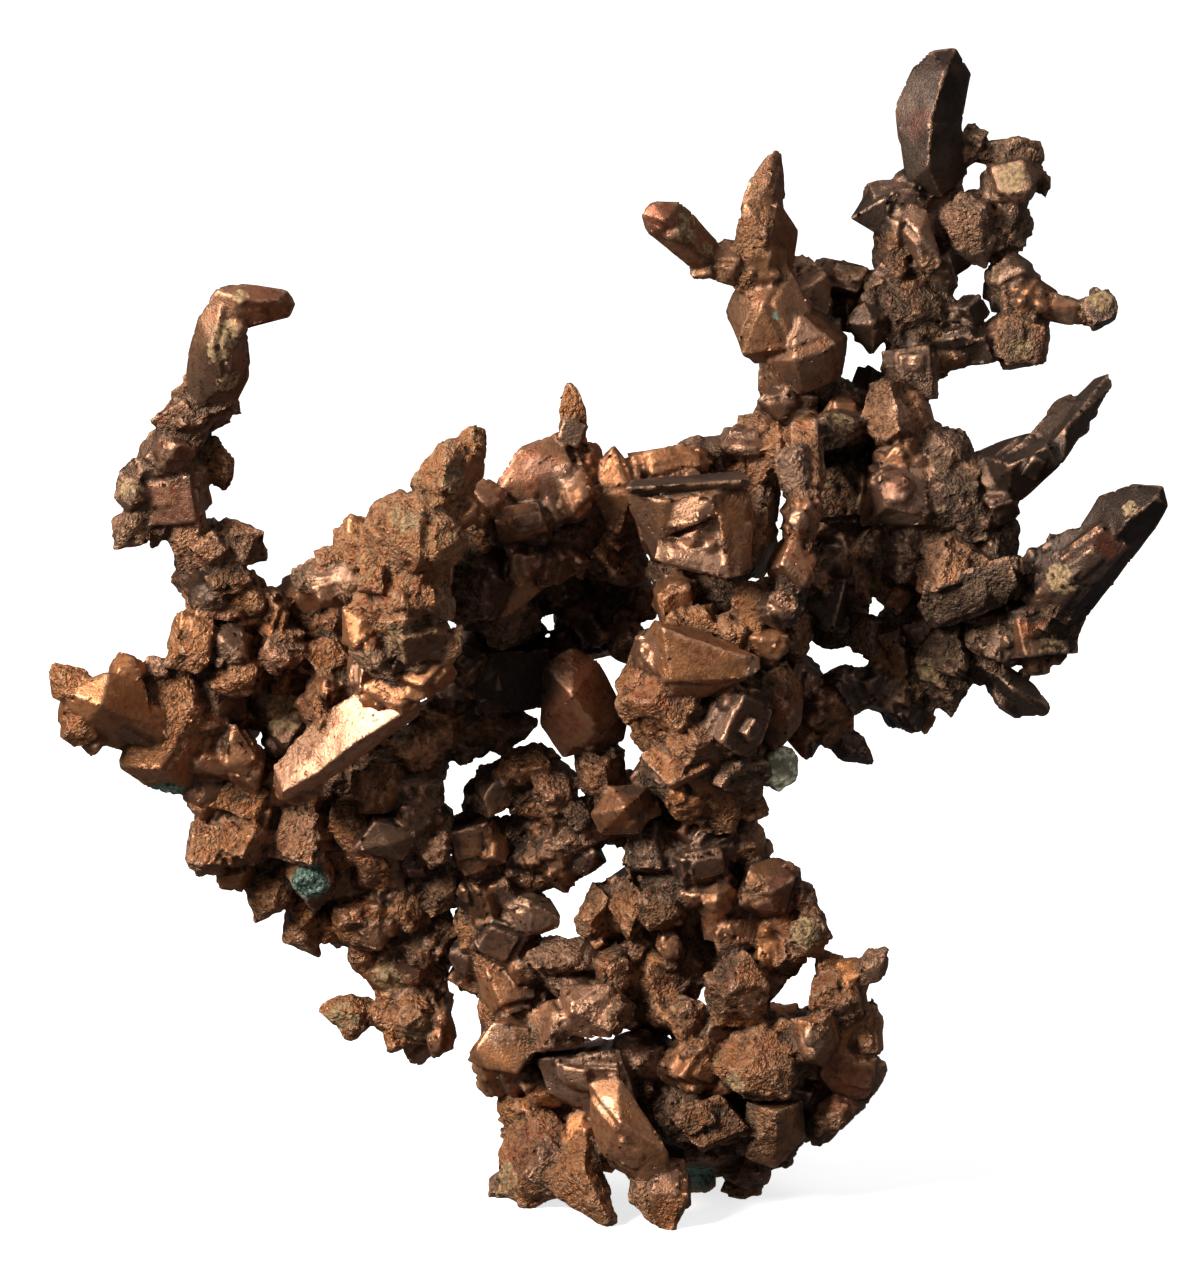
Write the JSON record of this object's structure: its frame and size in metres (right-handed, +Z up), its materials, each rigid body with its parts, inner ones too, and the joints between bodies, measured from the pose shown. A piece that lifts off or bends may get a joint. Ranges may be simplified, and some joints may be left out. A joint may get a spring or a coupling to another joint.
{
  "type": "native copper specimen",
  "caption": "Branching cluster of native copper crystals grown together, with upright fingers, hanging fringes and see-through gaps, standing on its own tips.",
  "frame": {"origin": "bottom centre of the box round the whole cluster, on the surface that it stands on", "axes": "+X to the viewer's right across the cluster's width, +Z up along its height, and the viewer looks along +Y, its depth"},
  "size_m": [0.1112, 0.0514, 0.1157],
  "materials": {
    "native_copper": "brown tarnished copper, satin, worn bright on its edges",
    "grey_green_rock": "dull granular mineral"
  },
  "bodies": {
    "root": {"right_mass": "native_copper", "centre_ridge": "native_copper", "wedge_cluster": "native_copper", "lower_right_mass": "native_copper", "foot_cluster": "native_copper", "lower_column": "native_copper", "lower_left_arm": "native_copper", "left_arm": "native_copper", "front_left_stack": "native_copper", "upper_left_arm": "native_copper", "upper_middle_branch": "native_copper", "upper_right_branch": "native_copper", "upper_right_finger": "native_copper", "right_finger": "native_copper", "right_tail": "native_copper", "centre_cluster": "native_copper", "mineral_grain": "grey_green_rock"}
  },
  "joints": []
}
